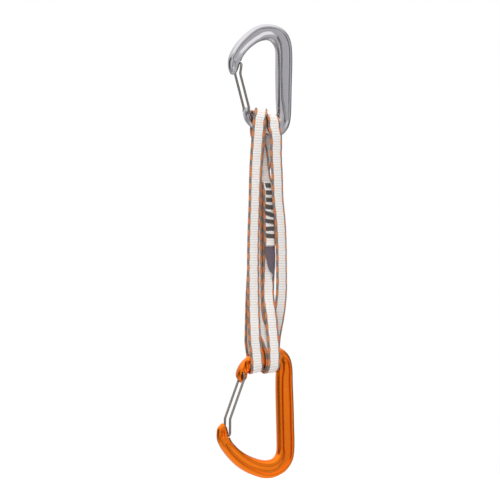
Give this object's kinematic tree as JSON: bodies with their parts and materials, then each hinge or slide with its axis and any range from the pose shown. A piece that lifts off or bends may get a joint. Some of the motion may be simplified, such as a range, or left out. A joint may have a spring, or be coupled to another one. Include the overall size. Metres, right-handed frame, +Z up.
{
  "type": "climbing quickdraw",
  "caption": "Extendable climbing quickdraw: a small and a large wire-gate carabiner joined by a thin woven sling that is looped between them.",
  "frame": {"origin": "the hanger side of the upper carabiner: the middle of the inner face of its top bend, where a bolt hanger bears", "axes": "+Z up as the quickdraw hangs, the lower carabiner towards -Z; X in the plane of both carabiners, spines towards +X and gates towards -X; +Y completes the frame, away from the label's side"},
  "size_m": [0.0685, 0.0171, 0.3591],
  "materials": {
    "clear_anodised": "hot-forged aluminium alloy, bright satin, clear anodised",
    "orange_anodised": "hot-forged aluminium alloy, dyed orange anodised, satin",
    "spring_wire": "bent stainless spring wire, smooth drawn",
    "sling_tape": "white woven polyethylene tape with ribbed weave and orange and grey edge stripes",
    "tack_thread": "dark grey sewing thread in dense zigzag",
    "label_weave": "dark grey woven label, bare"
  },
  "bodies": {
    "upper_carabiner": {"upper_body": "clear_anodised", "sling_upper_bight_left": "sling_tape", "sling_upper_bight_right": "sling_tape", "sling_upper_bight_inner": "sling_tape"},
    "upper_gate": {"upper_gate_wire": "spring_wire"},
    "sling_upper": {"sling_upper_flex": "sling_tape", "sling_strand_front_left": "sling_tape", "sling_strand_behind_left": "sling_tape", "sling_strand_right": "sling_tape", "sling_strand_middle": "sling_tape", "sling_strand_back_left": "sling_tape", "sling_strand_back_right": "sling_tape", "splice_overlap": "sling_tape", "bar_tacks": "tack_thread", "label": "label_weave"},
    "sling_lower": {"sling_strand_end_front_left": "sling_tape", "sling_strand_end_behind_left": "sling_tape", "sling_strand_end_right": "sling_tape", "sling_strand_end_middle": "sling_tape", "sling_strand_end_back_left": "sling_tape", "sling_strand_end_back_right": "sling_tape"},
    "lower_carabiner": {"lower_body": "orange_anodised", "sling_lower_flex": "sling_tape", "sling_lower_bight_left": "sling_tape", "sling_lower_bight_right": "sling_tape", "sling_lower_bight_inner": "sling_tape"},
    "lower_gate": {"lower_gate_wire": "spring_wire"}
  },
  "joints": [
    {"name": "upper_gate_hinge", "type": "hinge", "parent": "upper_carabiner", "child": "upper_gate", "pos_m": [-0.0184, 0, -0.0576], "axis": [0, 1, 0], "range_deg": [0, 32], "stiffness_Nm_per_rad": 0.3, "springref_deg": -20.05},
    {"name": "upper_swing", "type": "hinge", "parent": "upper_carabiner", "child": "sling_upper", "pos_m": [0, 0, -0.092], "axis": [1, 0, 0], "range_deg": [-90, 90], "deforming": ["sling_upper_flex"]},
    {"name": "sling_twist", "type": "hinge", "parent": "sling_upper", "child": "sling_lower", "pos_m": [-0.001, 0, -0.197], "axis": [0, 0, 1], "range_deg": [-90, 90]},
    {"name": "lower_swing", "type": "hinge", "parent": "sling_lower", "child": "lower_carabiner", "pos_m": [0, 0, -0.225], "axis": [1, 0, 0], "range_deg": [-90, 90], "deforming": ["sling_lower_flex"]},
    {"name": "lower_gate_hinge", "type": "hinge", "parent": "lower_carabiner", "child": "lower_gate", "pos_m": [-0.023, 0, -0.2624], "axis": [0, -1, 0], "range_deg": [0, 30], "stiffness_Nm_per_rad": 0.3, "springref_deg": -20.05}
  ]
}
